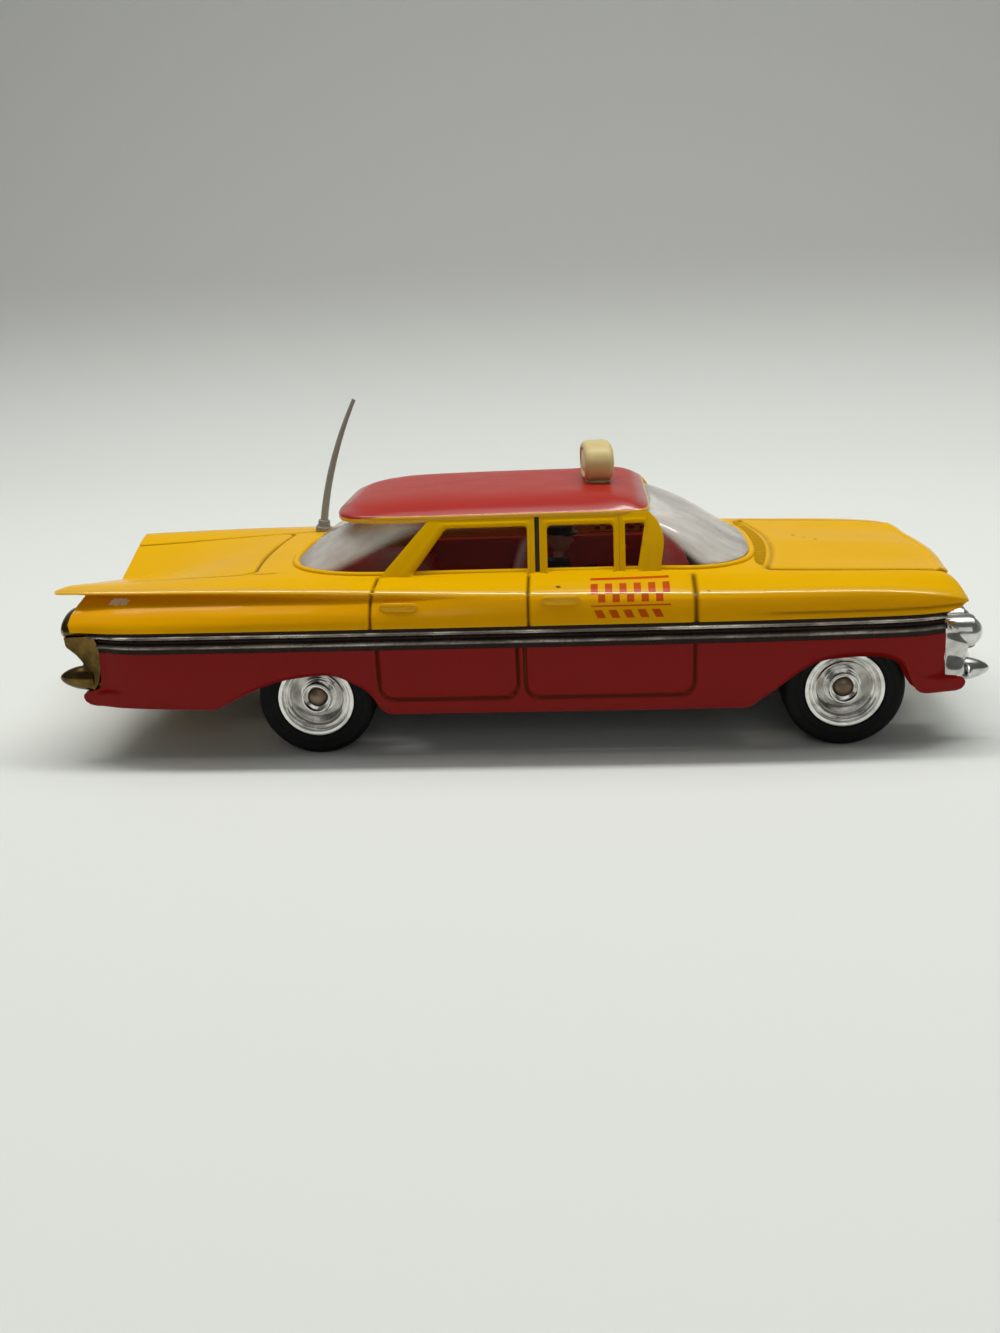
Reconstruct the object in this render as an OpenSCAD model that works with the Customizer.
// Toy taxi: a die-cast saloon car with glazed cabin, seated driver, sprung axles and rubber tyres.
// Millimetres. X runs forward, Y to the car's left and Z up. The origin lies on the ground
// under the middle of the car.

/* [Overall] */
// Length of the body, as twice the reach of its fins behind the middle
body_length = 108; // [102:0.5:114]
// Width over the side strips
car_width = 40.6; // [40:0.1:43]
// Height of the window sill above the ground
belt_height = 20.9; // [20.4:0.1:22]
// Height of the roof's crown above the window sill
cabin_height = 8; // [7.5:0.1:9]
// Distance between the axles
wheelbase = 61; // [59:0.5:63]
// Distance of the rear axle behind the middle of the car
rear_axle_setback = 23.6; // [22.6:0.1:24.6]

/* [Casting] */
// Thickness of the cast side walls
wall = 1.1; // [0.9:0.05:1.2]
// Thickness of the cast deck
deck_thickness = 1.2; // [1:0.05:1.4]
// Height of the door sill's lower edge
sill_height = 5.5; // [5.4:0.1:6]
// Distance of the side strip's upper edge below the window sill
strip_drop = 4.9; // [4.5:0.1:5.3]
// Height of the side strip
strip_height = 2.5; // [2.2:0.1:2.8]
// How far the two beads of the side strip stand out
bead_relief = 0.28; // [0.1:0.02:0.4]
// How far the side draws in below the strip
side_tuck = 1; // [0.6:0.05:1.1]
// Depth of the cove under the fin at the tail
cove_depth = 2.6; // [1.5:0.1:3]
// Diameter of the two rivet posts
post_d = 4; // [3.5:0.1:4.5]
// Length of a door handle
handle_length = 3.6; // [3:0.1:4.4]
// Diameter of a door handle
handle_d = 0.7; // [0.5:0.05:0.9]

/* [Glasshouse] */
// Distance of the roof's edge inside the side strip, on each side
roof_inset = 7; // [6.6:0.1:7.3]
// Distance of the roof's front edge ahead of the middle
roof_front = 15.8; // [15.4:0.1:16.2]
// Distance of the roof's rear edge behind the middle
roof_tail = 21.2; // [20:0.1:22]
// Height of the roof's crown above the lower edge of its rim
roof_depth = 2.4; // [2.2:0.05:2.6]
// Height of the roof's rim
rim_depth = 0.8; // [0.7:0.05:1]
// Thickness of the side frames round the windows
frame_thickness = 0.9; // [0.7:0.05:1]
// Thickness of the clear moulding
glass_thickness = 0.7; // [0.5:0.05:0.9]
// Distance of the clear moulding's foot inside the side strip, on each side
glass_inset = 6.1; // [6:0.05:6.3]
// Distance of the clear moulding's top inside the roof's edge, on each side
glass_top_inset = 1.5; // [1.3:0.05:1.8]
// Distance of the windscreen's foot ahead of the middle
screen_reach = 28.1; // [27:0.1:29]
// Distance of the rear window's foot behind the middle
backlight_reach = 27.3; // [26.5:0.1:28]

/* [Cabin] */
// Distance of the interior moulding inside the clear moulding, on each side
tub_play = 1; // [0.8:0.05:1.7]
// Thickness of the interior moulding's floor and walls
tub_wall = 0.8; // [0.6:0.05:1]
// Height of the front seat's cushion above the ground
seat_height = 12; // [11:0.1:12.5]
// Number of pleats across a bench seat
pleats = 13; // [7:1:17]
// Diameter of the steering wheel
steering_d = 5.2; // [4.6:0.1:5.6]
// Diameter of the driver's head
head_d = 3.5; // [3:0.1:3.8]

/* [Roof sign and aerial] */
// Width of the roof sign across the car
sign_width = 8.6; // [6:0.1:11]
// Height of the roof sign
sign_height = 4.8; // [4:0.1:6]
// Depth of the roof sign along the car
sign_depth = 4.1; // [3:0.1:5]
// Distance of the roof sign ahead of the middle
sign_place = 9.9; // [6:0.1:11]
// Height of the aerial above its foot
aerial_length = 17.6; // [10:0.1:22]
// Diameter of the aerial's foot
aerial_foot_d = 2.2; // [1.6:0.1:2.6]

/* [Wheels] */
// Outer diameter of a tyre
tyre_d = 13.8; // [13.4:0.1:14]
// Width of a tyre
tyre_width = 4.4; // [4:0.1:4.6]
// Distance of the tyres' outer faces inside the side strip
wheel_inset = 2.3; // [2.2:0.05:2.5]
// Diameter of the hub's drum under the tyre
drum_d = 8.4; // [8:0.1:8.8]
// Diameter of an axle
axle_d = 1.6; // [1.4:0.05:1.8]
// Radial play of a hub on its axle
hub_play = 0.05; // [0.02:0.01:0.1]
// Upward travel of a sprung axle
axle_travel = 1.2; // [0.8:0.1:1.4]

/* [Base] */
// Thickness of the baseplate
base_thickness = 0.8; // [0.6:0.05:0.9]
// Height of the baseplate's lower face above the ground
ground_clearance = 4.5; // [4.3:0.05:4.7]
// Distance of the baseplate's edge inside the side strip, on each side
base_inset = 3.8; // [3.3:0.1:5.3]
// Thickness of an ear that guides an axle
ear_thickness = 1; // [0.8:0.05:1.1]
// Thickness of a leaf spring
leaf_thickness = 0.4; // [0.3:0.05:0.5]
// Width of a leaf spring
leaf_width = 3; // [2.4:0.1:4]

/* [Hidden] */
$fn = 48;

// Gap between pieces that seat on each other
seat_gap = 0.1;
// How far a cut runs past the face that it opens
overrun = 0.5;
half_length = body_length / 2;
half_width = car_width / 2;
front_axle_x = wheelbase - rear_axle_setback;
rear_axle_x = -rear_axle_setback;
axle_height = tyre_d / 2;
tyre_r = tyre_d / 2;
strip_top = belt_height - strip_drop;
strip_bottom = strip_top - strip_height;
roof_height = belt_height + cabin_height;
rim_height = roof_height - roof_depth;
roof_width = car_width - roof_inset * 2;
glass_width = car_width - glass_inset * 2;
glass_top_width = roof_width - glass_top_inset * 2;
tub_width = glass_width - tub_play * 2;
track = car_width - wheel_inset * 2;
base_width = car_width - base_inset * 2;

// The deck's stations from tail to nose. Each row gives a place along the car as a share of half
// the length, four heights as shares of the belt height, from the middle to the crest, and the
// crest's distance from the middle as a share of half the width.
deck_shares = [
  [-1, 0.845, 0.913, 0.963, 0.974, 0.808],
  [-0.89, 0.872, 0.927, 0.968, 0.976, 0.833],
  [-0.78, 0.92, 0.951, 0.975, 0.977, 0.855],
  [-0.67, 0.968, 0.975, 0.982, 0.976, 0.872],
  [-0.555, 0.995, 0.995, 0.99, 0.972, 0.888],
  [-0.4, 1.003, 1.003, 0.998, 0.965, 0.91],
  [-0.2, 1.003, 1.003, 1, 0.95, 0.936],
  [0.02, 1.003, 1.003, 1, 0.933, 0.951],
  [0.26, 1, 1, 0.998, 0.92, 0.956],
  [0.45, 0.99, 0.985, 0.974, 0.912, 0.956],
  [0.6, 0.975, 0.966, 0.96, 0.908, 0.953],
  [0.74, 0.96, 0.948, 0.95, 0.9, 0.946],
  [0.85, 0.945, 0.934, 0.938, 0.874, 0.921],
  [0.91, 0.922, 0.916, 0.922, 0.848, 0.892],
  [0.931, 0.894, 0.892, 0.902, 0.828, 0.857]];
// Columns of the deck, as shares of the way from the middle to the crest, where those heights lie
deck_column_shares = [0, 0.45, 0.78, 1];
// Half width over the side strip along the car, as shares of half the length and half the width
strip_shares = [[-0.97, 0.93], [-0.88, 0.966], [-0.74, 0.985], [-0.2, 1], [0.4, 1], [0.7, 0.982],
  [0.85, 0.952], [0.93, 0.905]];
// The cove under the fin along the car, as a share of its depth at the tail
cove_shares = [[-1, 1], [-0.7, 0.8], [-0.4, 0.42], [-0.07, 0], [1, 0]];
// Wheel arches: places from the axle as shares of the tyre's radius, and heights as shares of the way
// from the sill's lower edge up to the strip
rear_arch_shares = [[-1.674, 0.113], [-1.243, 0.303], [-0.813, 0.476], [-0.383, 0.583], [0.048, 0.641],
  [0.383, 0.641], [0.717, 0.509], [0.985, 0.344], [1.186, 0.055], [1.339, 0]];
front_arch_shares = [[-1.588, 0], [-1.224, 0.245], [-0.813, 0.534], [-0.478, 0.715], [-0.048, 0.781],
  [0.354, 0.781], [0.67, 0.724], [0.88, 0.599], [0.985, 0.41],
  [1.071, 0.245], [1.167, 0.158], [1.301, 0.128]];
// Lower edge of the tail, in the same shares
tail_edge_share = 0.218;
// Rows of a side above the strip, as shares of the way up to the crest, from the top down
upper_row_shares = [0.9, 0.78, 0.6, 0.4, 0.2];
// Share of the cove that each of those rows takes
upper_cove_shares = [0.95, 1, 0.62, 0.16, 0];
// Rows across the strip, as shares of its height, and which of them stand out as beads
strip_row_shares = [1, 0.93, 0.72, 0.64, 0.36, 0.28, 0.07, 0];
bead_shares = [0, 1, 1, 0, 0, 1, 1, 0];
// Rows below the strip, as shares of the way down to the lower edge
lower_row_shares = [0.25, 0.5, 0.75, 1];
// Where each row of a side ends at the tail and at the nose, as shares of half the length
tail_row_shares = [0.935, 0.94, 0.955, 0.965, 0.967, 0.962, 0.94, 0.918, 0.914, 0.914, 0.914, 0.914,
  0.914, 0.918, 0.926, 0.94, 0.925];
nose_row_shares = [0.92, 0.925, 0.922, 0.912, 0.902, 0.89, 0.88, 0.872, 0.87, 0.87, 0.87, 0.87,
  0.87, 0.878, 0.9, 0.925, 0.93];
// The ends of the car where those reaches take over from the straight stations
tail_blend_share = 0.8;
nose_blend_share = 0.8;
// Reach of the deck at the middle of the tail and of the nose
deck_tail_share = 0.963;
deck_nose_share = 0.934;
// Reach of the deck at the fin tips and at the front corners
tip_share = 0.998;
nose_share = 0.931;
nose_x = nose_share * half_length;

function lerp(a, b, t) = a + (b - a) * t;
function flat(rows) = [for (row = rows) each row];
function span(a, b, n) = [for (i = [0:n - 1]) lerp(a, b, i / n)];
function sgn_pow(v, p) = sign(v) * pow(abs(v), p);

// Smooth curve through a table: column c at place x, with slopes taken across each row's neighbours
function row_at(table, x, i = 0) =
  i >= len(table) - 2 || x < table[i + 1][0] ? i : row_at(table, x, i + 1);
function slope_at(table, i, c) =
  let (a = table[max(i - 1, 0)], b = table[min(i + 1, len(table) - 1)])
  (b[c] - a[c]) / (b[0] - a[0]);
function curve(table, x, c) =
  let (i = row_at(table, x), p = table[i], q = table[i + 1], h = q[0] - p[0])
  let (t = min(max((x - p[0]) / h, 0), 1), t2 = t * t, t3 = t2 * t)
  p[c] * (2 * t3 - 3 * t2 + 1) + q[c] * (3 * t2 - 2 * t3)
  + h * (slope_at(table, i, c) * (t3 - 2 * t2 + t) + slope_at(table, i + 1, c) * (t3 - t2));

// Solid between an outer and an inner skin, each a list of stations of rows of points. The two
// skins share their stations and may have different numbers of rows.
module skin_solid(outer, inner) {
  stations = len(outer);
  k = len(outer[0]);
  m = len(inner[0]);
  ring = k + m;
  points = flat([for (i = [0:stations - 1]) concat(outer[i], [for (j = [m - 1:-1:0]) inner[i][j]])]);
  sides = [for (i = [0:stations - 2]) for (j = [0:ring - 1])
    let (a = i * ring + j, b = i * ring + (j + 1) % ring)
    each [[a, b, b + ring], [a, b + ring, a + ring]]];
  mate = [for (i = [0:k - 2]) round((i + 0.5) / (k - 1) * (m - 1))];
  caps = concat([for (i = [0:k - 2]) [i, i + 1, ring - 1 - mate[i]]],
    [for (i = [1:k - 2]) if (mate[i] > mate[i - 1]) [i, ring - 1 - mate[i], ring - 1 - mate[i - 1]]]);
  last = (stations - 1) * ring;
  head = [for (f = caps) [f[2], f[1], f[0]]];
  foot = [for (f = caps) [f[0] + last, f[1] + last, f[2] + last]];
  polyhedron(points, concat(sides, head, foot));
}

// Solid through a list of closed rings of points that run round to the left, with flat ends
module ring_solid(rings) {
  n = len(rings[0]);
  top = (len(rings) - 1) * n;
  sides = [for (i = [0:len(rings) - 2]) for (j = [0:n - 1])
    let (a = i * n + j, b = i * n + (j + 1) % n)
    each [[a, b + n, b], [a, a + n, b + n]]];
  polyhedron(flat(rings), concat(sides, [[for (j = [0:n - 1]) j]], [[for (j = [n - 1:-1:0]) top + j]]));
}

module both_sides() {
  children();
  mirror([0, 1, 0]) children();
}

// The deck's crest and surface
function crest_y(x) = half_width * curve(deck_shares, x / half_length, 5);
function crest_z(x) = belt_height * curve(deck_shares, x / half_length, 4);
function deck_z(x, f) =
  let (u = x / half_length)
  let (column = [for (c = [0:3]) [deck_column_shares[c], belt_height * curve(deck_shares, u, c + 1)]])
  curve(column, abs(f), 1);

// Stations along the deck, bent at both ends to the outline of the tail and of the nose
deck_stations = concat(span(-1, -0.5, 9), span(-0.5, 0.5, 7), span(0.5, nose_share, 9), [nose_share]);
deck_top_shares = [for (i = [-7:7]) i / 7];
deck_bottom_shares = [-1, -0.8, 0, 0.8, 1];
// Thickness of the deck's lip as a share of the deck's thickness
lip_share = 0.5;
function deck_x(u, f) =
  u < -tail_blend_share
  ? half_length * lerp(-tail_blend_share, -lerp(deck_tail_share, tip_share, abs(f)),
    (u + tail_blend_share) / (tail_blend_share - 1))
  : u > nose_blend_share
  ? half_length * lerp(nose_blend_share, lerp(deck_nose_share, nose_share, f * f),
    (u - nose_blend_share) / (nose_share - nose_blend_share))
  : half_length * u;
function deck_point(u, f, drop) =
  let (x = u * half_length)
  [deck_x(u, f), f * crest_y(x), deck_z(x, f) - drop];

module deck() {
  lip = deck_thickness * lip_share;
  skin_solid(
    [for (u = deck_stations) [for (f = deck_top_shares) deck_point(u, f, 0)]],
    [for (u = deck_stations) [for (f = deck_bottom_shares)
      deck_point(u, f, abs(f) == 1 ? lip : deck_thickness)]]);
}

// The lower edge of a side, with both wheel arches
function edge_z(share) = lerp(sill_height, strip_bottom, share);
function arch_z(table, x, axle_x) = edge_z(curve(table, (x - axle_x) / tyre_r, 1));
function side_edge(x) =
  let (r = (x - rear_axle_x) / tyre_r, f = (x - front_axle_x) / tyre_r)
  r < rear_arch_shares[0][0]
  ? edge_z(lerp(rear_arch_shares[0][1], tail_edge_share,
    (rear_arch_shares[0][0] - r) / (half_length + rear_axle_x) * tyre_r))
  : r < rear_arch_shares[len(rear_arch_shares) - 1][0] ? arch_z(rear_arch_shares, x, rear_axle_x)
  : f < front_arch_shares[0][0] ? sill_height
  : arch_z(front_arch_shares, x, front_axle_x);
function strip_y(x) = half_width * curve(strip_shares, x / half_length, 1);

// One side, as rows from the crest to the lower edge at a station
function side_x(u, row) =
  u < -tail_blend_share
  ? half_length * lerp(-tail_blend_share, -tail_row_shares[row],
    (u + tail_blend_share) / (tail_blend_share - tip_share))
  : u > nose_blend_share
  ? half_length * lerp(nose_blend_share, nose_row_shares[row],
    (u - nose_blend_share) / (nose_share - nose_blend_share))
  : half_length * u;
function upper_row(u, i) =
  let (x = side_x(u, i), g = upper_row_shares[i], s = u * half_length)
  [x, strip_y(s) - (strip_y(s) - crest_y(s)) * g * g
    - cove_depth * curve(cove_shares, u, 1) * upper_cove_shares[i], lerp(strip_top, crest_z(s), g)];
function strip_row(u, i) =
  let (x = side_x(u, len(upper_row_shares) + i), s = u * half_length)
  [x, strip_y(s) + bead_relief * bead_shares[i], lerp(strip_bottom, strip_top, strip_row_shares[i])];
function lower_row(u, i) =
  let (row = len(upper_row_shares) + len(strip_row_shares) + i, x = side_x(u, row))
  let (z = lerp(strip_bottom, side_edge(x), lower_row_shares[i]))
  let (drop = (strip_bottom - z) / (strip_bottom - sill_height))
  [x, strip_y(u * half_length) - side_tuck * drop * drop, z];
function inward(p, depth) = [p[0], p[1] - depth, p[2]];
function side_outer(u) = concat(
  [let (p = upper_row(u, 0)) inward(p, wall)],
  [for (i = [1:len(upper_row_shares) - 1]) upper_row(u, i)],
  [for (i = [0:len(strip_row_shares) - 1]) strip_row(u, i)],
  [for (i = [0:len(lower_row_shares) - 1]) lower_row(u, i)]);
function side_inner(u) = concat(
  [inward(upper_row(u, 0), wall + wall)],
  [for (i = [1, 3]) inward(upper_row(u, i), wall)],
  [inward(strip_row(u, 0), wall)],
  [inward(strip_row(u, len(strip_row_shares) - 1), wall)],
  [for (i = [1, 3]) inward(lower_row(u, i), wall)]);
rear_arch_start = (rear_axle_x + rear_arch_shares[0][0] * tyre_r) / half_length;
rear_arch_end = (rear_axle_x + rear_arch_shares[len(rear_arch_shares) - 1][0] * tyre_r) / half_length;
front_arch_start = (front_axle_x + front_arch_shares[0][0] * tyre_r) / half_length;
side_stations = concat(span(-tip_share, rear_arch_start, 8), span(rear_arch_start, rear_arch_end, 11),
  span(rear_arch_end, front_arch_start, 5), span(front_arch_start, nose_share, 14), [nose_share]);

module side() {
  skin_solid([for (u = side_stations) side_outer(u)], [for (u = side_stations) side_inner(u)]);
}

// The upright panel under the deck's tail, shaped to the gull wing above it
tail_panel_share = 0.9;
tail_panel_x = -tail_panel_share * half_length;
module tail_panel() {
  x = tail_panel_x;
  low = edge_z(tail_edge_share);
  brow = [for (f = [0:0.2:0.8]) [f * crest_y(x), deck_z(x, f) - deck_thickness * lip_share]];
  low_y = strip_y(x) - wall / 2;
  half = concat(brow, [[crest_y(x) - cove_depth, strip_top + wall], [low_y, strip_top],
    [low_y, strip_bottom], [low_y - side_tuck, low]]);
  rotate([90, 0, 90])
    translate([0, 0, x])
    linear_extrude(wall)
    polygon(concat(half, [for (i = [len(half) - 1:-1:1]) [-half[i][0], half[i][1]]]));
}

// Closed outline of the clear moulding: an arched front and rear joined by straight sides. The
// arches are superellipses.
arch_steps = 8;
side_steps = 4;
screen_power_share = 0.66;
function front_arch(root, reach, half, power, z, from, to) = [for (a = span(from, to, arch_steps))
  [lerp(root, reach, sgn_pow(cos(a), power)), half * sgn_pow(sin(a), power), z]];
function glass_loop(front_root, front_reach, rear_root, rear_reach, half, power, z) = concat(
  front_arch(front_root, front_reach, half, power, z, 0, 90),
  [for (x = span(front_root, -rear_root, side_steps)) [x, half, z]],
  [for (a = span(90, 270, arch_steps * 2))
    [-lerp(rear_root, rear_reach, sgn_pow(-cos(a), power)), half * sgn_pow(sin(a), power), z]],
  [for (x = span(-rear_root, front_root, side_steps)) [x, -half, z]],
  front_arch(front_root, front_reach, half, power, z, -90, 0));
// Where the moulding's straight sides end, at the sill and under the roof
screen_root = 16;
backlight_root = 12;
screen_top_root = 10;
backlight_top_root = 8;
// Setback of the glass from the roof's edges
screen_setback = 0.7;
backlight_setback = 3.6;
// Power of the arches under the roof
roof_power_share = 0.45;
// How far the glass swells between sill and roof at the windscreen, which is fullest two thirds of
// the way up, at the rear window and at the sides
screen_swell = 1.5;
backlight_swell = 0.6;
pane_swell = 0.15;
// Depth of the moulding's skirt under the sill, and rise of its roof pan above the roof's rim
skirt_depth = 1.7;
pan_rise = 0.4;
glass_foot = belt_height - skirt_depth;
glass_top = rim_height + pan_rise;
function glass_ring(t, inset) =
  let (bow = 4 * t * (1 - t), high_bow = 27 / 4 * t * t * (1 - t))
  glass_loop(lerp(screen_root, screen_top_root, t),
    lerp(screen_reach, roof_front - screen_setback, t) + screen_swell * high_bow - inset,
    lerp(backlight_root, backlight_top_root, t),
    lerp(backlight_reach, roof_tail - backlight_setback, t) + backlight_swell * bow - inset,
    lerp(glass_width, glass_top_width, t) / 2 + pane_swell * bow - inset,
    lerp(screen_power_share, roof_power_share, t),
    lerp(belt_height, glass_top, t) - (t == 1 ? inset : 0));
// Levels of the moulding, as shares of the way from the sill to its roof pan
rise_shares = [0, 0.35, 0.7, 0.9, 1];
function at_height(ring, z) = [for (p = ring) [p[0], p[1], z]];

module glazing_unit() {
  outer = concat([at_height(glass_ring(0, 0), glass_foot)], [for (t = rise_shares) glass_ring(t, 0)]);
  inner = concat([for (i = [len(rise_shares) - 1:-1:0]) glass_ring(rise_shares[i], glass_thickness)],
    [at_height(glass_ring(0, glass_thickness), glass_foot)]);
  color("lightcyan", 0.5) ring_solid(concat(inner, outer));
}

// The roof: a crowned slab with a squared front, round rear corners and a rim all round. Its plan is
// a superellipse whose powers, along and across the car, differ between the front and the rear.
roof_steps = 48;
roof_middle = (roof_front - roof_tail) / 2;
roof_level_shares = [0.5, 0.75, 0.88, 0.96, 1];
roof_front_power_shares = [0.1, 0.2];
roof_rear_power_shares = [0.44, 0.36];
roof_crown_power = 5;
rim_inset = 0.6;
roof_under = glass_top + seat_gap;
// The rim fades out over the windscreen: where that starts and ends behind the roof's front edge
brow_start = 5;
brow_end = 2;
function rim_z(x) =
  lerp(rim_height, roof_under, min(max((x - roof_front + brow_start) / (brow_start - brow_end), 0), 1));
function roof_ring(r, z, inset) = [for (i = [0:roof_steps - 1])
  let (a = 360 * i / roof_steps, h = (roof_front + roof_tail) / 2)
  let (p = cos(a) > 0 ? roof_front_power_shares : roof_rear_power_shares)
  [roof_middle + (r * h - inset) * sgn_pow(cos(a), p[0]),
    (r * roof_width / 2 - inset) * sgn_pow(sin(a), p[1]), z]];
function rim_ring(inset) = [for (p = roof_ring(1, 0, inset)) [p[0], p[1], rim_z(p[0])]];
function roof_z(r) = lerp(roof_height, rim_height + rim_depth, pow(r, roof_crown_power));
module roof() {
  ring_solid(concat(
    [roof_ring(1, roof_under, rim_inset * 2), rim_ring(rim_inset), rim_ring(0)],
    [for (i = [len(roof_level_shares) - 1:-1:0])
      roof_ring(roof_level_shares[i], roof_z(roof_level_shares[i]), 0)]));
}

// A side frame: a leaning panel pierced by two door windows and a quarter light
frame_setback = 0.4;
frame_foot_y = glass_width / 2 + seat_gap + frame_setback + frame_thickness;
frame_foot_z = belt_height - deck_thickness / 2;
frame_top_y = roof_width / 2 - seat_gap;
frame_top_z = rim_height + rim_depth / 2;
frame_rise = norm([frame_foot_y - frame_top_y, frame_top_z - frame_foot_z]);
frame_lean = atan2(frame_foot_y - frame_top_y, frame_top_z - frame_foot_z);
window_sill_share = 0.08;
window_head_share = 0.86;
window_corner = 0.45;
// Corners of the frame and of its windows at the sill and at the head, as shares of the way from the
// roof's rear edge to its front edge
frame_shares = [[0.147, 0.281], [1.027, 1]];
frame_knee_share = 1.038;
frame_knee_rise_share = 0.76;
window_shares = [[[0.266, 0.368], [0.618, 0.618]], [[0.68, 0.68], [0.884, 0.884]],
  [[0.92, 0.92], [0.956, 0.981]]];
pillar_slot_share = 0.649;
pillar_slot = 0.7;
function cabin_x(share) = lerp(-roof_tail, roof_front, share);
module rounded(r) {
  offset(r = r, $fn = 16) offset(delta = -r) children();
}
module frame_outline() {
  polygon([[cabin_x(frame_shares[0][0]), 0], [cabin_x(frame_shares[1][0]), 0],
    [cabin_x(frame_knee_share), frame_rise * frame_knee_rise_share],
    [cabin_x(frame_shares[1][1]), frame_rise], [cabin_x(frame_shares[0][1]), frame_rise]]);
}
module window_outline(w) {
  sill = frame_rise * window_sill_share;
  head = frame_rise * window_head_share;
  rounded(window_corner)
    polygon([[cabin_x(w[0][0]), sill], [cabin_x(w[1][0]), sill],
      [cabin_x(w[1][1]), head], [cabin_x(w[0][1]), head]]);
}
module side_frame() {
  translate([0, -frame_foot_y + frame_thickness * cos(frame_lean), frame_foot_z])
    rotate([90 - frame_lean, 0, 0])
    difference() {
      linear_extrude(frame_thickness)
        difference() {
          frame_outline();
          for (w = window_shares) window_outline(w);
        }
      translate([cabin_x(pillar_slot_share) - pillar_slot / 2, frame_rise * window_sill_share,
        frame_thickness / 2])
        cube([pillar_slot, frame_rise * (window_head_share - window_sill_share), frame_thickness]);
    }
}

// The opening in the deck that the clear moulding stands in
module cabin_opening() {
  translate([0, 0, sill_height])
    linear_extrude(belt_height)
    polygon([for (p = glass_ring(0, -seat_gap)) [p[0], p[1]]]);
}

// Door handles, as places along the car in shares of half the length and heights in shares of the
// belt height
handle_shares = [[-0.237, 0.875], [0.101, 0.897]];
module handle(place) {
  x = place[0] * half_length;
  z = place[1] * belt_height;
  g = (z - strip_top) / (crest_z(x) - strip_top);
  y = -strip_y(x) + (strip_y(x) - crest_y(x)) * g * g + cove_depth * curve(cove_shares, place[0], 1);
  hull() for (s = [-1, 1])
    translate([x + s * (handle_length - handle_d) / 2, y, z]) sphere(d = handle_d, $fn = 8);
}

// Rivet posts that carry the baseplate, with a shoulder above it and a spun head in its dimple
rear_post_setback = 37.3;
post_gap = 0.4;
front_post_reach = screen_reach + post_gap + post_d / 2;
post_places = [-rear_post_setback, front_post_reach];
post_neck_d = 2.4;
rivet_head = 0.35;
base_top = ground_clearance + base_thickness;
module post(x) {
  translate([x, 0, base_top])
    cylinder(h = deck_z(x, 0) - base_top - deck_thickness / 2, d = post_d, $fn = 24);
  hull() {
    translate([x, 0, base_top]) cylinder(h = overrun, d = post_neck_d, $fn = 24);
    translate([x, 0, ground_clearance + base_thickness / 2])
      cylinder(h = rivet_head, d = post_neck_d, $fn = 24);
  }
}

// The post at the edge of the windscreen, bent round the frame's front corner
module screen_post() {
  r = frame_thickness / 2;
  k = frame_knee_rise_share;
  foot = [cabin_x(frame_shares[1][0]) - r, -frame_foot_y + r, frame_foot_z];
  knee = [cabin_x(frame_knee_share) - r, -lerp(frame_foot_y, frame_top_y, k) + r,
    lerp(frame_foot_z, frame_top_z, k)];
  head = [cabin_x(frame_shares[1][1]) - frame_thickness, -frame_top_y + frame_thickness, rim_height];
  for (pair = [[foot, knee], [knee, head]])
    hull() for (p = pair) translate(p) sphere(r = r, $fn = 8);
}

module body_casting() {
  color("gold") {
    difference() {
      deck();
      cabin_opening();
    }
    both_sides() {
      side();
      side_frame();
      screen_post();
      for (place = handle_shares) handle(place);
    }
    tail_panel();
    roof();
    for (x = post_places) post(x);
  }
}

// The baseplate: a plate that is wide at the sills, narrow between the wheels and drawn out to a
// tongue at the tail, with two pairs of slotted ears
ear_gap = 0.3;
hub_boss = 1.2;
hub_width = tyre_width + hub_boss;
hub_inner_y = track / 2 - hub_width;
base_narrow = hub_inner_y - ear_gap;
tongue_width = 9;
// Where the widths change, as shares of the tyre's radius from the axles
wide_rear_share = 1.6;
wide_front_share = 1.8;
narrow_rear_share = 0.6;
narrow_front_share = 0.7;
ear_head = 1.6;
ear_height = axle_height + axle_d / 2 + axle_travel + ear_head;
ear_reach = 2.9;
dimple_d = post_d;
module plate_band(from, to, width) {
  translate([from, -width / 2]) square([to - from, width]);
}
module plate_outline() {
  tail = rear_axle_x - tyre_r * narrow_rear_share;
  plate_band(-rear_post_setback - post_d, tail + overrun, tongue_width);
  plate_band(tail, front_axle_x + tyre_r * narrow_front_share, base_narrow * 2);
  plate_band(rear_axle_x + tyre_r * wide_rear_share, front_axle_x - tyre_r * wide_front_share, base_width);
}
module axle_slot(x) {
  r = axle_d / 2 + hub_play;
  for (z = [axle_height, axle_height + axle_travel])
    translate([x, 0, z]) rotate([90, 0, 0]) cylinder(h = base_width, r = r, center = true);
  translate([x - r, -base_width / 2, axle_height]) cube([r * 2, base_width, axle_travel]);
}
module ears(x) {
  difference() {
    for (s = [-1, 1])
      translate([x - ear_reach, s * (base_narrow - ear_thickness / 2) - ear_thickness / 2, ground_clearance])
        cube([ear_reach * 2, ear_thickness, ear_height - ground_clearance]);
    axle_slot(x);
  }
}
module baseplate() {
  color("dimgray") {
    difference() {
      translate([0, 0, ground_clearance]) linear_extrude(base_thickness) plate_outline();
      for (x = post_places) {
        translate([x, 0, ground_clearance - overrun])
          cylinder(h = base_thickness + overrun * 2, d = post_neck_d + seat_gap * 2);
        translate([x, 0, ground_clearance - overrun])
          cylinder(h = overrun + base_thickness / 2, d = dimple_d);
      }
    }
    for (x = [front_axle_x, rear_axle_x]) ears(x);
  }
}

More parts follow.
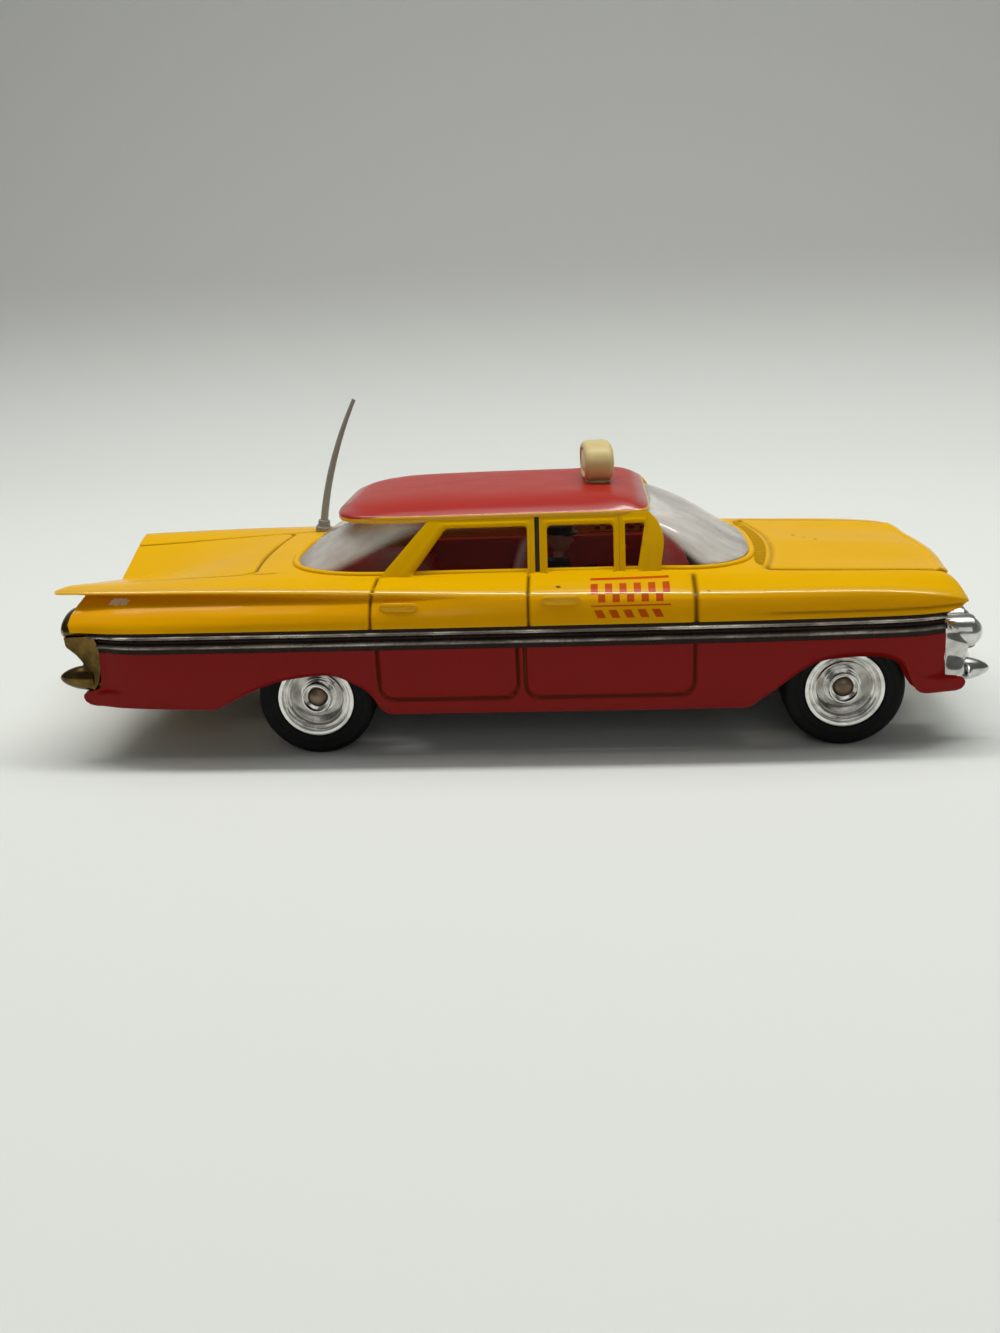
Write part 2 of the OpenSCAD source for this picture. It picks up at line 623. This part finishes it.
// The interior: floor and walls, two pleated bench seats, parcel shelf and dashboard
tub_floor = base_top + seat_gap;
tub_top = glass_foot - seat_gap;
dash_x = 20;
dash_play = 0.7;
dash_width = tub_width - dash_play * 2;
dash_depth = 4;
seat_depth = 7;
seat_back_depth = 2.6;
front_seat_x = -1;
rear_seat_x = -15;
front_back_rise = 0.3;
rear_back_rise = 1.5;
front_back_height = tub_top + front_back_rise;
rear_back_height = tub_top + rear_back_rise;
shelf_reach = 25;
shelf_inset = 4.3;
shelf_width = tub_width - shelf_inset * 2;
dash_face = 4;
dash_fall = 1.6;
pleat_depth = 0.25;
module across(width) {
  rotate([90, 0, 0]) linear_extrude(width, center = true) children();
}
// Plan of a bench, with a scalloped front edge for its pleats
module pleated_plan(depth, width) {
  step = width / pleats;
  front = [for (i = [0:pleats * 4]) [depth + pleat_depth * abs(sin(45 * i)), -width / 2 + i * step / 4]];
  polygon(concat([[0, width / 2], [0, -width / 2]], front));
}
module bench(x, back_height) {
  width = tub_width - tub_wall * 2 + seat_gap;
  translate([x + seat_back_depth - overrun, -width / 2, tub_floor])
    cube([seat_depth + overrun, width, seat_height - tub_floor]);
  translate([x, 0, tub_floor]) linear_extrude(back_height - tub_floor) pleated_plan(seat_back_depth, width);
}
module interior_moulding() {
  color("firebrick") {
    translate([rear_seat_x, -tub_width / 2, tub_floor])
      cube([dash_x - rear_seat_x + tub_wall, tub_width, tub_wall]);
    for (s = [-1, 1])
      translate([rear_seat_x, s * (tub_width - tub_wall) / 2 - tub_wall / 2, tub_floor])
        cube([dash_x - rear_seat_x + tub_wall, tub_wall, tub_top - tub_floor]);
    bench(front_seat_x, front_back_height);
    bench(rear_seat_x, rear_back_height);
    translate([-shelf_reach, -shelf_width / 2, tub_top - tub_wall])
      cube([shelf_reach + rear_seat_x + overrun, shelf_width, tub_wall]);
    across(dash_width)
      polygon([[dash_x + tub_wall, tub_floor], [dash_x + tub_wall, tub_top],
        [dash_x - dash_depth / 2, tub_top + tub_wall], [dash_x - dash_depth, tub_top],
        [dash_x - dash_depth, tub_top - dash_face], [dash_x, tub_top - dash_face - dash_fall],
        [dash_x, tub_floor]]);
  }
}

// The steering wheel on its raked column, before the driver's seat
driver_share = 0.2424;
driver_y = tub_width * driver_share;
steering_x = 12.2;
steering_z = 16.8;
steering_rake = 58;
steering_rim_d = 0.7;
spoke_d = 0.56;
column_d = 0.9;
column_length = 4.6;
module steering_wheel() {
  color("firebrick")
    translate([steering_x, driver_y, steering_z])
    rotate([0, -steering_rake, 0]) {
      rotate_extrude()
        translate([(steering_d - steering_rim_d) / 2, 0]) circle(d = steering_rim_d, $fn = 24);
      translate([0, 0, -column_length]) cylinder(h = column_length, d = column_d);
      for (a = [90, 270])
        rotate([0, 90, a]) cylinder(h = (steering_d - steering_rim_d) / 2, d = spoke_d);
    }
}

// The driver: a seated figure in suit and cap, arms forward to the wheel. Its joints lie at distances
// forward, outward and upward from the middle of the seat's edge, in shares of the head's diameter.
driver_x = 4.6;
hip_shares = [-0.1, 0.3, 0.5];
chest_shares = [0, 0.4, 1.25];
shoulder_shares = [0, 0.66, 1.3];
elbow_shares = [0.62, 0.74, 0.72];
hand_shares = [1.5, 0.5, 1.05];
thigh_shares = [0, 0.38, 0.31];
knee_shares = [1.25, 0.46, 0.31];
neck_shares = [0.02, 0, 1.4];
head_shares = [0.1, 0, 2.3];
chin_shares = [0.14, 0, 2.16];
cap_shares = [0.08, 0, 2.5];
peak_shares = [0.4, 0, 2.5];
chest_d = 3.2;
arm_d = 1.5;
forearm_d = 1.3;
leg_d = 2;
neck_d = 1.5;
cap_d = 3.9;
cap_foot_d = 3.6;
cap_height = 1.2;
peak_d = 3.1;
peak_height = 0.35;
function body_point(shares, s = 1) = [driver_x + shares[0] * head_d, driver_y + s * shares[1] * head_d,
  seat_height + seat_gap + shares[2] * head_d];
module ball(p, d) {
  translate(p) sphere(d = d, $fn = 9);
}
module limb(a, b, d) {
  hull() {
    ball(a, d);
    ball(b, d);
  }
}
module driver_figure() {
  color("midnightblue") {
    hull() for (s = [-1, 1]) {
      ball(body_point(chest_shares, s), chest_d);
      ball(body_point(hip_shares, s), chest_d);
    }
    for (s = [-1, 1]) {
      limb(body_point(shoulder_shares, s), body_point(elbow_shares, s), arm_d);
      limb(body_point(elbow_shares, s), body_point(hand_shares, s), forearm_d);
      limb(body_point(thigh_shares, s), body_point(knee_shares, s), leg_d);
    }
    limb(body_point(neck_shares), body_point(head_shares), neck_d);
    limb(body_point(head_shares), body_point(chin_shares), head_d);
    translate(body_point(cap_shares)) cylinder(h = cap_height, d1 = cap_foot_d, d2 = cap_d, $fn = 20);
    translate(body_point(peak_shares)) cylinder(h = peak_height, d = peak_d, $fn = 20);
  }
}

// The roof sign: an oval drum lying along the car, with a raised rim round each face
sign_foot = roof_height + seat_gap;
sign_edge = 0.5;
sign_rim = 0.7;
sign_recess = 0.25;
module sign_drum(height, width, depth) {
  hull() for (s = [-1, 1])
    translate([0, s * (width - height) / 2, 0])
      rotate([0, 90, 0]) cylinder(h = depth, d = height, center = true, $fn = 32);
}
module taxi_sign() {
  color("wheat")
    translate([sign_place, 0, sign_foot + sign_height / 2])
    difference() {
      hull() {
        sign_drum(sign_height, sign_width, sign_depth - sign_edge * 2);
        sign_drum(sign_height - sign_edge, sign_width - sign_edge, sign_depth);
      }
      for (s = [-1, 1])
        translate([s * sign_depth / 2, 0, 0])
          sign_drum(sign_height - sign_rim * 2, sign_width - sign_rim * 2, sign_recess * 2);
    }
}

// The aerial: a stepped foot and a thin whip that bows forward as it rises
aerial_setback = 27.5;
aerial_inset = 2.2;
aerial_offset = glass_width / 2 - aerial_inset;
aerial_lean = 5.6;
aerial_bow_share = 0.4;
aerial_sides = 10;
// Rings of the foot and the whip: height as a share of the length, radius as a share of the foot's
aerial_ring_shares = [[0, 1], [0.035, 1], [0.036, 0.8], [0.085, 0.72], [0.087, 0.5], [0.2, 0.46],
  [0.35, 0.43], [0.5, 0.4], [0.65, 0.37], [0.8, 0.33], [0.92, 0.29], [1, 0.24]];
module aerial() {
  x = -aerial_setback;
  y = aerial_offset;
  foot = deck_z(x, y / crest_y(x)) + seat_gap;
  color("gray")
    ring_solid([for (r = aerial_ring_shares) [for (i = [0:aerial_sides - 1])
      let (a = 360 * i / aerial_sides, d = aerial_foot_d / 2 * r[1])
      let (lean = aerial_lean * r[0] * lerp(r[0], 1, aerial_bow_share))
      [x + lean + d * cos(a), y + d * sin(a), foot + aerial_length * r[0]]]]);
}

// Plated units. A bumper bar is a chain of rounded links along its path, and cheeks close the ends of
// the sides, whose edges they follow.
bar_steps = 4;
bar_height = 2.2;
bar_thickness = 1.8;
bullet_d = 2.6;
bullet_share = 0.0667;
bullet_length = half_length * bullet_share;
// How far the bumpers' bullets reach past the fins
bullet_overhang = 0.2;
cheek_thickness = 1.2;
cheek_gap = 0.2;
// Rows of a side's end that a cheek follows
cheek_rows = [5, 12, 14, 15];
// Half width over the strips at both ends of the car
nose_y = strip_y(nose_x);
tail_y = strip_y(-tip_share * half_length);
module bar(middle_x, end_x, half, z) {
  path = [for (i = [-bar_steps:bar_steps])
    let (s = i / bar_steps)
    [lerp(middle_x, end_x, pow(abs(s), 3)), half * s, z]];
  for (i = [0:len(path) - 2])
    hull() for (p = [path[i], path[i + 1]])
      translate(p)
        scale([bar_thickness / bar_height, bar_thickness / bar_height, 1]) sphere(d = bar_height, $fn = 8);
}
module bullet(d, length) {
  rotate([0, 90, 0])
    rotate_extrude($fn = 14)
    polygon(concat([[0, 0]], [for (a = [0:22.5:90]) [d / 2 * cos(a), length * sin(a)]]));
}
module cheek(u, outline) {
  d = sign(u);
  ends = side_outer(u);
  translate([0, strip_y(u * half_length), 0])
    rotate([90, 0, 0])
    linear_extrude(cheek_thickness)
    polygon(concat([for (i = cheek_rows) [ends[i][0] + d * cheek_gap, ends[i][2]]],
      [for (p = outline) [d * p[0] * half_length, p[1] * strip_bottom]]));
}

// The front unit: grooved grille panel, two pairs of headlamps, bumper bar and bullets
grille_bow = 1.6;
grille_thickness = 1;
grille_back_share = 0.87;
grille_back = grille_back_share * half_length;
groove_depth = 0.4;
groove_height = 0.5;
groove_pitch = 1.1;
grooves = 5;
grooves_inset = 9;
lamp_d = 3.8;
lamp_drop = 0.3;
lamp_z = strip_bottom - lamp_drop;
lamp_pitch = 4;
lamp_bite = 0.08;
lamp_outer_y = nose_y - cheek_thickness - lamp_d / 2 + lamp_bite;
lamp_reach = 4.2;
lens_d = 3.2;
lens_crown = 1.2;
// The front bar's height as a share of the strip's, and its reaches as shares of half the length
front_bar_share = 0.63;
front_bar_reach_share = 0.959;
front_bar_end_share = 0.9495;
front_bar_z = strip_bottom * front_bar_share;
front_bar_reach = half_length * front_bar_reach_share;
front_bar_end = half_length * front_bar_end_share;
front_bar_half = nose_y - cheek_thickness;
front_bullet_inset = 3.4;
front_bullet_y = nose_y - front_bullet_inset;
grille_low = front_bar_z - seat_gap;
grille_half = nose_y;
grooves_half = grille_half - grooves_inset;
// Outline of a front cheek from its foot upward, in shares of half the length and of the strip's height
front_cheek_shares = [[0.922, 0.66], [0.938, 0.64], [0.95, 0.74], [0.94, 0.86], [0.9, 0.97]];
function grille_x(y) = grille_back + grille_bow * (1 - y * y / grille_half / grille_half);
// A bowed slab of the grille's plan between two setbacks from its face
module bowed(half, back, face) {
  steps = 8;
  ys = [for (i = [-steps:steps]) half * i / steps];
  polygon(concat([for (y = ys) [grille_x(y) + back, y]],
    [for (i = [len(ys) - 1:-1:0]) [grille_x(ys[i]) + face, ys[i]]]));
}
module grille_panel() {
  half = grille_half - wall - side_tuck;
  tall = deck_z(nose_x, 0) - deck_thickness - grille_low - seat_gap;
  side = strip_top - grille_low;
  difference() {
    intersection() {
      translate([0, 0, grille_low]) linear_extrude(tall) bowed(half, 0, grille_thickness);
      translate([grille_back - overrun, 0, grille_low]) rotate([90, 0, 90])
        linear_extrude(grille_bow + grille_thickness + overrun * 2)
        polygon([[-grille_half, -overrun], [grille_half, -overrun], [grille_half, side],
          [grille_half / 2, tall + overrun], [-grille_half / 2, tall + overrun], [-grille_half, side]]);
    }
    for (i = [1:grooves])
      translate([0, 0, grille_low + groove_pitch * i])
        linear_extrude(groove_height)
        bowed(grooves_half, grille_thickness - groove_depth, grille_thickness + overrun);
  }
}
module headlamp(y) {
  root = grille_back + grille_thickness / 2;
  translate([root, y, lamp_z])
    rotate([0, 90, 0]) cylinder(h = lamp_reach - grille_thickness / 2, d = lamp_d, $fn = 16);
  translate([grille_back + lamp_reach - overrun, y, lamp_z]) bullet(lens_d, lens_crown + overrun);
}
module front_bumper_grille() {
  color("silver") {
    grille_panel();
    bar(front_bar_reach, front_bar_end, front_bar_half, front_bar_z);
    both_sides() {
      for (i = [0, 1]) headlamp(lamp_outer_y - lamp_pitch * i);
      cheek(nose_share, front_cheek_shares);
      translate([half_length + bullet_overhang - bullet_length, front_bullet_y, front_bar_z])
        bullet(bullet_d, bullet_length);
    }
  }
}

// The rear unit: cheeks, drop-shaped tail lamps under the fins, bumper bar and bullets
// The rear bar's height and reaches, in the same shares
rear_bar_share = 0.733;
rear_bar_reach_share = 0.963;
rear_bar_end_share = 0.9537;
rear_bar_z = strip_bottom * rear_bar_share;
rear_bar_reach = half_length * rear_bar_reach_share;
rear_bar_end = half_length * rear_bar_end_share;
rear_bar_half = tail_y - cheek_thickness;
rear_bullet_inset = 1.5;
rear_bullet_y = tail_y - rear_bullet_inset;
rear_lamp_drop = 0.1;
rear_lamp_z = strip_top - rear_lamp_drop;
rear_lamp_inset = 2.5;
rear_lamp_y = tail_y - rear_lamp_inset;
rear_lamp_tip_y = 6.4;
rear_lamp_d = 4.2;
rear_lamp_tip_d = 1.8;
rear_lamp_thickness = 1;
rear_lamp_stem_d = 2.5;
rear_lamp_stem_inset = 1.2;
rear_lamp_stem_y = rear_lamp_y - rear_lamp_stem_inset;
// Outline of a rear cheek from its foot upward, in shares of half the length and of the strip's height
rear_cheek_shares = [[0.964, 0.64], [0.966, 0.86], [0.957, 0.95], [0.976, 1.02], [0.978, 1.12]];
module rear_lamp() {
  back = tail_row_shares[len(upper_row_shares) - 1] * half_length + seat_gap;
  hull() {
    translate([-back - rear_lamp_thickness / 2, rear_lamp_y, rear_lamp_z])
      scale([rear_lamp_thickness / rear_lamp_d, 1, 1]) sphere(d = rear_lamp_d, $fn = 14);
    translate([-back - rear_lamp_thickness / 2, rear_lamp_tip_y, rear_lamp_z])
      scale([rear_lamp_thickness / rear_lamp_d, 1, 1]) sphere(d = rear_lamp_tip_d, $fn = 14);
  }
  root = tail_panel_x - seat_gap - rear_lamp_stem_d / 2;
  hull() for (x = [root, -back], y = [rear_lamp_tip_y, rear_lamp_stem_y])
    translate([x, y, rear_lamp_z]) sphere(d = rear_lamp_stem_d, $fn = 8);
}
module rear_bumper_lamps() {
  color("silver") {
    bar(-rear_bar_reach, -rear_bar_end, rear_bar_half, rear_bar_z);
    both_sides() {
      rear_lamp();
      cheek(-tip_share, rear_cheek_shares);
      translate([-half_length - bullet_overhang + bullet_length, rear_bullet_y, rear_bar_z])
        mirror([1, 0, 0]) bullet(bullet_d, bullet_length);
    }
  }
}

// Axles with a domed head at each end, seated in the hubs' recesses
head_length = 0.7;
axle_head_d = 2.4;
recess_share = 0.78;
head_seat = hub_inner_y + hub_width * recess_share;
module axle(x) {
  color("silver")
    translate([x, 0, axle_height])
    rotate([90, 0, 0]) {
      cylinder(h = (head_seat + seat_gap) * 2, d = axle_d, center = true);
      for (s = [0, 180])
        rotate([s, 0, 0]) translate([0, 0, head_seat + seat_gap])
          rotate_extrude() polygon(concat([[0, 0]],
            [for (a = [0:15:90]) [axle_head_d / 2 * cos(a), head_length * sin(a)]]));
    }
}
module front_axle() axle(front_axle_x);
module rear_axle() axle(rear_axle_x);

// A hub as a turned profile: radii and widths as shares of the drum's radius and the hub's width
flange_share = 1.08;
flange_seat_share = 0.93;
hub_profile_shares = [[0.45, 0], [0.45, 0.46], [0.83, 0.54], [0.88, 0.27], [1, 0.27],
  [1, flange_seat_share], [flange_share, flange_seat_share], [flange_share, 0.99], [0.95, 1],
  [0.86, 0.85], [0.79, 0.89], [0.77, 0.94], [0.4, 0.9], [0.39, 0.96], [0.35, 0.96],
  [0.35, recess_share]];
module placed_wheel(x, s) {
  translate([x, s * hub_inner_y, axle_height]) rotate([s > 0 ? -90 : 90, 0, 0]) children();
}
module hub(x, s) {
  bore = axle_d / 2 + hub_play;
  color("silver")
    placed_wheel(x, s)
    rotate_extrude()
    polygon(concat([[bore, 0]], [for (p = hub_profile_shares) [p[0] * drum_d / 2, p[1] * hub_width]],
      [[bore, recess_share * hub_width]]));
}
module hub_front_right() hub(front_axle_x, -1);
module hub_front_left() hub(front_axle_x, 1);
module hub_rear_right() hub(rear_axle_x, -1);
module hub_rear_left() hub(rear_axle_x, 1);

// A tyre: round shoulders, and a bead that sits behind the hub's flange
shoulder = 0.9;
tyre_fit = 0.02;
module tyre(x, s) {
  bore = drum_d / 2 + tyre_fit;
  low = hub_boss;
  high = hub_width;
  lip = drum_d / 2 * flange_share + seat_gap;
  bead = hub_width * flange_seat_share - tyre_fit;
  color("#202020")
    placed_wheel(x, s)
    rotate_extrude()
    polygon(concat([[bore, low + shoulder / 2], [lip, low]],
      [for (a = [-90:15:0]) [tyre_r - shoulder + shoulder * cos(a), low + shoulder + shoulder * sin(a)]],
      [for (a = [0:15:90]) [tyre_r - shoulder + shoulder * cos(a), high - shoulder + shoulder * sin(a)]],
      [[lip, high], [lip, bead], [bore, bead]]));
}
module tyre_front_right() tyre(front_axle_x, -1);
module tyre_front_left() tyre(front_axle_x, 1);
module tyre_rear_right() tyre(rear_axle_x, -1);
module tyre_rear_left() tyre(rear_axle_x, 1);

// Leaf springs: a strip with an eye round a rivet post, bent down onto its axle
leaf_eye_z = 10.6;
leaf_eye = 4;
leaf_flat = 2.8;
leaf_toe = 1.6;
module leaf_spring(axle_x, post_x) {
  run = abs(axle_x - post_x);
  tip_z = axle_height + axle_d / 2 + seat_gap;
  spine = [[-leaf_eye, leaf_eye_z], [leaf_flat, leaf_eye_z], [run, tip_z], [run + leaf_toe, tip_z]];
  color("lightsteelblue")
    difference() {
      translate([post_x, 0, 0]) mirror([axle_x < post_x ? 1 : 0, 0, 0])
        across(leaf_width + post_d)
        polygon(concat(spine, [for (i = [len(spine) - 1:-1:0]) spine[i] + [0, leaf_thickness]]));
      translate([post_x, 0, 0]) cylinder(h = belt_height, d = post_d + seat_gap * 2);
    }
}
module front_leaf_spring() leaf_spring(front_axle_x, front_post_reach);
module rear_leaf_spring() leaf_spring(rear_axle_x, -rear_post_setback);

body_casting();
baseplate();
glazing_unit();
interior_moulding();
steering_wheel();
driver_figure();
taxi_sign();
aerial();
front_bumper_grille();
rear_bumper_lamps();
front_axle();
rear_axle();
hub_front_right();
hub_front_left();
hub_rear_right();
hub_rear_left();
tyre_front_right();
tyre_front_left();
tyre_rear_right();
tyre_rear_left();
front_leaf_spring();
rear_leaf_spring();
